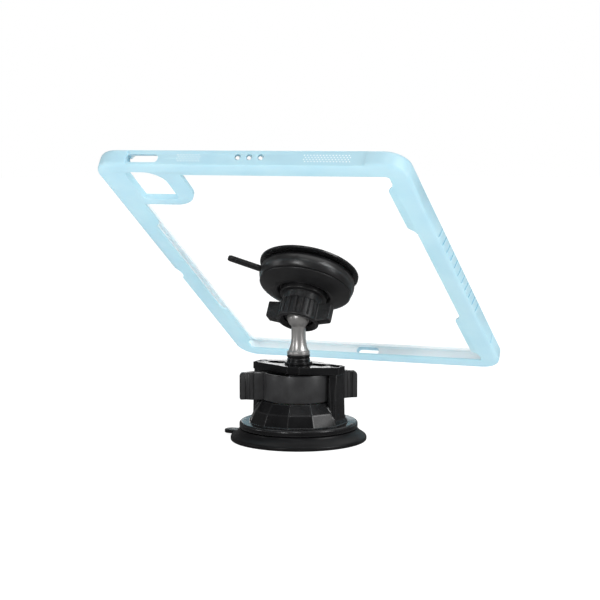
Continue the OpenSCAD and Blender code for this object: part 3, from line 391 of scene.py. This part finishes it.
def drawCup(look):
    rimR, rimT, topR, topZ, edge = (look[key] for key in ("rimR", "rimT", "topR", "topZ", "edge"))
    bossR, bossTop, boreR, under = (look[key] for key in ("bossR", "bossTop", "boreR", "under"))
    sealIn = rimR - look["sealW"]
    boreFloor = topZ - look["boreDeep"]
    return ([(0, under)]
            + bend((bossR, under), (sealIn - look["sealRun"], under), (sealIn, 0.0))
            + bend((rimR - edge, 0), (rimR, 0), (rimR, edge), 3)
            + bend((rimR, rimT - edge), (rimR, rimT), (rimR - edge, rimT + edge), 3)
            + bend((rimR - look["rimIn"], rimT + look["rimUp"]),
                   (topR + look["flareOut"], rimT + look["flareUp"]), (topR, topZ - edge))
            + bend((topR, topZ - edge), (topR, topZ), (topR - edge, topZ), 3)[1:]
            + [(bossR, topZ), (bossR - look["bossDraft"], bossTop), (boreR, bossTop), (boreR, boreFloor),
               (0, boreFloor)])


baseCup = spinOutline("baseCup", drawCup(cup))
cupTab = makeStrap("cupTab", cup)
setPlace(cupTab, Matrix.Translation((0, 0, (cup["rimT"] + cup["tabT"]) / 2 * mm))
         @ Matrix.Rotation(math.radians(cup["tabAz"]), 4, "Z"))
joinPieces(baseCup, cupTab)
finishPiece(baseCup, "base", "rubber", "base_suction_cup")
print("base cup:", len(baseCup.data.polygons), "faces")


# Head pad: a spun rubber pad with a lip and a thin pull tab

pad = {"floor": 23.2, "flangeR": 26.8, "flangeTop": 26.6, "waistR": 25.1, "ringTop": 30.7, "lipR": 31.2, "lipT": 1.4,
       "flareOut": 0.5, "flareDown": 0.3, "sealW": 3.0, "hollowS": 28.0, "hollowR": 22.7, "hollowL": 6.5, "edge": 0.45,
       "tabFrom": 25, "tabReach": 51, "tabW": 4.5, "tabT": 2.8, "tabEdge": 0.7, "tabAz": 210, "tabLift": 4}


def drawPad(look, sheet):
    floorS, flangeR, flangeTop = (look[key] for key in ("floor", "flangeR", "flangeTop"))
    waistR, lipR, hollowR, hollowS, edge = (look[key] for key in ("waistR", "lipR", "hollowR", "hollowS", "edge"))
    lipLow = sheet - look["lipT"]
    return ([(0, floorS), (flangeR, floorS), (flangeR, flangeTop), (waistR, flangeTop)]
            + bend((waistR, look["ringTop"]), (waistR + look["flareOut"], lipLow - look["flareDown"]),
                   (lipR - edge, lipLow))
            + bend((lipR - edge, lipLow), (lipR, lipLow), (lipR, lipLow + edge), 4)[1:]
            + [(lipR, sheet)]
            + bend((lipR - look["sealW"], sheet), (hollowR, hollowS), (hollowR - look["hollowL"], hollowS))
            + [(0, hollowS)])


headPad = spinOutline("headPad", drawPad(pad, caseSeat["panel"]))
padTab = makeStrap("padTab", pad)
tabRoot = Matrix.Translation((pad["flangeR"] * mm, 0, (pad["floor"] + pad["flangeTop"]) / 2 * mm))
tabLift = Matrix.Rotation(math.radians(-pad["tabLift"]), 4, "Y") @ Matrix.Translation((-pad["flangeR"] * mm, 0, 0))
setPlace(padTab, Matrix.Rotation(math.radians(pad["tabAz"]), 4, "Z") @ tabRoot @ tabLift)
joinPieces(headPad, padTab)
setPlace(headPad, headPlace)
finishPiece(headPad, "head", "sealRubber", "head_suction_pad")
print("head pad:", len(headPad.data.polygons), "faces")


# Rigid pieces: merged copies of the CAD solids whose edges are rounded as their moulds and tools leave them

# an edge is rounded by round where its faces meet at more than limit degrees, and clamp keeps close edges apart
refined = {
    "baseHousing": {"node": "base_housing", "body": "base", "slot": "gloss_black", "round": 0.45, "limit": 6.5},
    "twistDrum": {"node": "twist_drum", "body": "drum", "slot": "black_plastic", "round": 0.3, "limit": 30},
    "topPlate": {"node": "top_plate", "body": "base", "slot": "gloss_black", "round": 0.35, "limit": 20},
    "studCollar": {"node": "stud_collar", "body": "base", "slot": "gloss_black", "round": 0.15, "limit": 30},
    "ballStud": {"node": "ball_stud", "body": "base", "slot": "aluminium", "round": 0.15, "limit": 30},
    "plateScrews": {"node": "plate_screws", "body": "base", "slot": "steel", "round": 0.12, "limit": 40},
    "clampNut": {"node": "clamp_nut", "body": "nut", "slot": "black_plastic", "round": 0.25, "limit": 35},
    "headBowl": {"node": "head_bowl", "body": "head", "slot": "black_plastic", "round": 0.2, "limit": 35},
    "headRing": {"node": "head_ring", "body": "head", "slot": "black_plastic", "round": 0.2, "limit": 35},
    "caseFrame": {"node": "case_frame", "body": "head", "slot": "blue_tpu", "round": 0.3, "limit": 35,
                  "clamp": True},
    "clearPanel": {"node": "clear_panel", "body": "head", "slot": "clear_sheet", "round": 0.2, "limit": 35,
                   "clamp": True},
}
flatDeg = 0.5  # triangles that meet at less than this become one flat face
# the nut's edges are painted lighter as a painted highlight; the other edges only wear
edgeFinish = {"gloss": "burnished", "satin": "burnished", "grained": "worn"}  # handling polishes the edges
pieces = {}
for pieceName, look in refined.items():
    activate(nodes[look["node"]])
    bpy.ops.object.duplicate()
    piece = bpy.context.object
    piece.name = pieceName
    for key in list(piece.keys()):  # the node's own marks
        del piece[key]
    bpy.ops.object.mode_set(mode="EDIT")
    bpy.ops.mesh.select_all(action="SELECT")
    bpy.ops.mesh.remove_doubles(threshold=hair)
    bpy.ops.mesh.dissolve_limited(angle_limit=math.radians(flatDeg))
    bpy.ops.object.mode_set(mode="OBJECT")
    # edge finish: wear on drum, housing and plate, and a painted highlight on the nut
    edgeWearAndHighlight = edgeFinish.get(nodeFinish[look["node"]])
    if edgeWearAndHighlight:
        piece.data.materials.append(finishes[edgeWearAndHighlight])
    applyModifier(piece, "BEVEL", width=look["round"] * mm, segments=2, limit_method="ANGLE",
                  angle_limit=math.radians(look["limit"]), material=1 if edgeWearAndHighlight else -1,
                  use_clamp_overlap=look.get("clamp", False))
    finishPiece(piece, look["body"], None, look["node"], min(smoothDeg, look["limit"]))
    pieces[pieceName] = piece
    print(pieceName, len(piece.data.polygons), "faces")


# Neck of the bowl: the same coarse grain as the nut

neck = {"top": 13.45}
paintFaces(pieces["headBowl"], "grained", lambda face: (toHead @ face.calc_center_median()).z < neck["top"] * mm)
print("bowl neck grained")


# Speaker dots: rows of shallow dimples in the top wall of the case, their floors painted pale as painted light

dots = {"groups": ((26.5, 39.6), (-63.9, -37.7)), "pitch": 1.87, "rowStep": 1.33, "firstRow": 2.0, "radius": 0.38,
        "sides": 10, "wall": 130.0, "depth": 1.7}
cutters = []
for dotFrom, dotTo in dots["groups"]:
    for row in range(2):  # every second row is set half a pitch on
        bpy.ops.object.select_all(action="DESELECT")
        bpy.ops.mesh.primitive_cylinder_add(
            vertices=dots["sides"], radius=dots["radius"] * mm, depth=dots["depth"] * mm, rotation=(math.pi / 2, 0, 0),
            location=((dotFrom + row * dots["pitch"] / 2) * mm, dots["wall"] * mm,
                      (dots["firstRow"] + row * dots["rowStep"]) * mm))
        cutter = bpy.context.object
        bpy.ops.object.transform_apply(location=True, rotation=True, scale=True)
        repeatPiece(cutter, int((dotTo - dotFrom) / dots["pitch"]) + 1, (dots["pitch"] * mm, 0, 0))
        repeatPiece(cutter, 2, (0, 0, 2 * dots["rowStep"] * mm))
        cutters.append(cutter)
dotCutter = joinPieces(*cutters)
setPlace(dotCutter, casePlace)
# the dimples' floors take the pale painted-light finish
dotCutter.data.materials.append(finishes["thinTpu"])
caseFrame = pieces["caseFrame"]
drillPiece(caseFrame, dotCutter, material_mode="TRANSFER")


# Sound holes: each of the three is drilled on at a slant, clear through wall and lip

sound = {"x": -3.8, "z": 4.4, "step": 7, "count": 3, "radius": 1.2, "sides": 24, "length": 26,
         "run": (0.37, -0.835, 0.41)}
bpy.ops.object.select_all(action="DESELECT")
bpy.ops.mesh.primitive_cylinder_add(vertices=sound["sides"], radius=sound["radius"] * mm, depth=sound["length"] * mm)
soundDrill = bpy.context.object
setPlace(soundDrill, Matrix.Translation(((sound["x"] - sound["step"]) * mm, dots["wall"] * mm, sound["z"] * mm))
         @ Vector(sound["run"]).to_track_quat("Z", "Y").to_matrix().to_4x4())
repeatPiece(soundDrill, sound["count"], (sound["step"] * mm, 0, 0))
setPlace(soundDrill, casePlace)
drillPiece(caseFrame, soundDrill)
activate(caseFrame)
bpy.ops.object.shade_smooth_by_angle(angle=math.radians(smoothDeg))
print("case with dots and sound holes:", len(caseFrame.data.polygons), "faces")


# Pocket and grips of the case: the walls inside are painted paler as painted light, and the grip flanks that face up
# the wall are painted darker as painted shade

pocket = {"halfX": 90.2, "halfY": 124.8, "floor": 1.5, "upright": 0.6}
grip = {"side": -94.2, "middle": -2, "half": 57, "rise": 0.25}


def seenInCase(face):
    # centre and normal of a face along the case's own axes
    return toCase @ face.calc_center_median(), toCase.to_3x3() @ face.normal


def isPocketWall(face):
    spot, normal = seenInCase(face)
    inside = abs(spot.x) < pocket["halfX"] * mm and abs(spot.y) < pocket["halfY"] * mm
    return inside and spot.z > pocket["floor"] * mm and normal.z < pocket["upright"]


def isGripEdge(face):
    spot, normal = seenInCase(face)
    near = spot.x < grip["side"] * mm and abs(spot.y - grip["middle"] * mm) < grip["half"] * mm
    return near and normal.y > grip["rise"]


# pocket walls: painted light, paler than the rest of the case
paintFaces(caseFrame, "pocketPaintedLightTpu", isPocketWall)
# grip flanks: painted shade, the dark line beside each ridge
paintFaces(caseFrame, "gripPaintedShadeTpu", isGripEdge)
print("pocket and grips painted")


# Lattice: crossed ribs on the floor of the plate's two recesses

lattice = {"x": 14.6, "length": 9.6, "width": 8.0, "across": 6, "down": 5, "rib": 0.55, "middle": 46.25}
bpy.ops.object.select_all(action="DESELECT")
bpy.ops.mesh.primitive_grid_add(x_subdivisions=lattice["across"], y_subdivisions=lattice["down"],
                                size=lattice["width"] * mm, location=(-lattice["x"] * mm, 0, lattice["middle"] * mm))
plateLattice = bpy.context.object
plateLattice.name = "plateLattice"
plateLattice.scale.x = lattice["length"] / lattice["width"]
bpy.ops.object.transform_apply(location=True, rotation=True, scale=True)
bpy.ops.object.mode_set(mode="EDIT")
bpy.ops.mesh.select_all(action="SELECT")
bpy.ops.mesh.poke()
bpy.ops.object.mode_set(mode="OBJECT")
applyModifier(plateLattice, "WIREFRAME", thickness=lattice["rib"] * mm, use_replace=True, use_even_offset=False,
              use_boundary=True)
repeatPiece(plateLattice, 2, (2 * lattice["x"] * mm, 0, 0))
setPlace(plateLattice, basePlace)
finishPiece(plateLattice, "base", "burnished", None)
print("lattice:", len(plateLattice.data.polygons), "faces")


# Camera, floor and light

def putOnSet(item, sight):
    # turns a camera or a light to look along sight
    bpy.context.scene.collection.objects.link(item)
    item.rotation_mode = "QUATERNION"
    item.rotation_quaternion = sight.to_track_quat("-Z", "Y")


cameraLook = {"place": (0.35107, -0.87940, 0.18653), "aim": (0.00162, -0.00168, 0.0864), "lens": 93.06,
              "sensor": 36.0}
aim = Vector(cameraLook["aim"])
camera = bpy.data.objects.new("camera", bpy.data.cameras.new("camera"))
camera.data.lens = cameraLook["lens"]
camera.data.sensor_width = cameraLook["sensor"]
camera.location = cameraLook["place"]
putOnSet(camera, aim - Vector(cameraLook["place"]))
bpy.context.scene.camera = camera

floorLook = {"radius": 6.0, "sides": 96, "color": "#8c8c8c", "rough": 0.9, "lamp": "#ffffff", "glow": 0.9,
             "bounce": 1.02}
bpy.ops.object.select_all(action="DESELECT")
bpy.ops.mesh.primitive_circle_add(vertices=floorLook["sides"], radius=floorLook["radius"], fill_type="NGON")
floor = bpy.context.object
floor.name = "paleFloor"
# white acrylic table, lit from below so that shadows fade out of it
floorMaterial, floorTree, floorShader = startMaterial("backlit_white_acrylic", {
    "IOR": 1.4, "Roughness": floorLook["rough"], "Base Color": linearColor(floorLook["color"]),
    "Emission Color": linearColor(floorLook["lamp"])})[:3]
floorEye = addNode(floorTree, "ShaderNodeLightPath")
floorGlow = addNode(floorTree, "ShaderNodeMapRange", {"To Min": floorLook["bounce"], "To Max": floorLook["glow"]},
                    {"Value": floorEye.outputs["Is Camera Ray"]})
floorTree.links.new(floorGlow.outputs["Result"], floorShader.inputs["Emission Strength"])
floor.data.materials.append(floorMaterial)
floor.visible_glossy = False  # black flags round the set: the floor isn't mirrored in the plastics

lamps = {
    "fillSun": {"from": (0.9, -0.15, 0.55), "spread": 30, "strength": 1.15},
    "topSun": {"from": (0.1, 0.35, 1.0), "spread": 70, "strength": 0.9},
}
for lampName, look in lamps.items():
    lamp = bpy.data.objects.new(lampName, bpy.data.lights.new(lampName, "SUN"))
    lamp.data.angle = math.radians(look["spread"])
    lamp.data.energy = look["strength"]
    putOnSet(lamp, -Vector(look["from"]))

strips = {
    "frontBox": {"place": (0.18, -0.65, 0.95), "wide": 0.16, "tall": 0.12, "power": 0.5},
    "faceStrip": {"place": (-0.10, -0.90, 0.34), "wide": 0.08, "tall": 0.22, "power": 1.55},
    "leftStrip": {"place": (-0.78, -0.45, 0.26), "wide": 0.06, "tall": 0.5, "power": 0.6},
    "rimStrip": {"place": (-0.30, 0.78, 0.55), "wide": 0.12, "tall": 0.3, "power": 0.8},
    "backStrip": {"place": (-0.42, 1.10, 0.21), "wide": 0.5, "tall": 0.05, "power": 0.4},
    "rightStrip": {"place": (0.88, -0.22, 0.26), "wide": 0.06, "tall": 0.5, "power": 0.7},
}
for stripName, look in strips.items():
    strip = bpy.data.objects.new(stripName, bpy.data.lights.new(stripName, "AREA"))
    strip.data.shape = "RECTANGLE"
    strip.data.size = look["wide"]
    strip.data.size_y = look["tall"]
    strip.data.energy = look["power"]
    strip.location = look["place"]
    putOnSet(strip, aim - Vector(look["place"]))

roomLook = {"color": "#ffffff", "seen": 1.0, "light": 0.42, "mirrored": 0.12}
world = bpy.data.worlds.new("studio")
bpy.context.scene.world = world
world.use_nodes = True
worldTree = world.node_tree
worldTree.nodes.clear()
eye = addNode(worldTree, "ShaderNodeLightPath")
seen, light, mirrored = (
    addNode(worldTree, "ShaderNodeBackground", {"Strength": roomLook[key], "Color": linearColor(roomLook["color"])})
    for key in ("seen", "light", "mirrored"))
lit = addNode(worldTree, "ShaderNodeMixShader", None,
              {0: eye.outputs["Is Glossy Ray"], 1: light.outputs[0], 2: mirrored.outputs[0]})
choice = addNode(worldTree, "ShaderNodeMixShader", None,
                 {0: eye.outputs["Is Camera Ray"], 1: lit.outputs[0], 2: seen.outputs[0]})
addNode(worldTree, "ShaderNodeOutputWorld", None, {"Surface": choice.outputs[0]})
bpy.context.scene.view_settings.view_transform = "Standard"
print("camera, floor and", len(lamps) + len(strips), "lights")
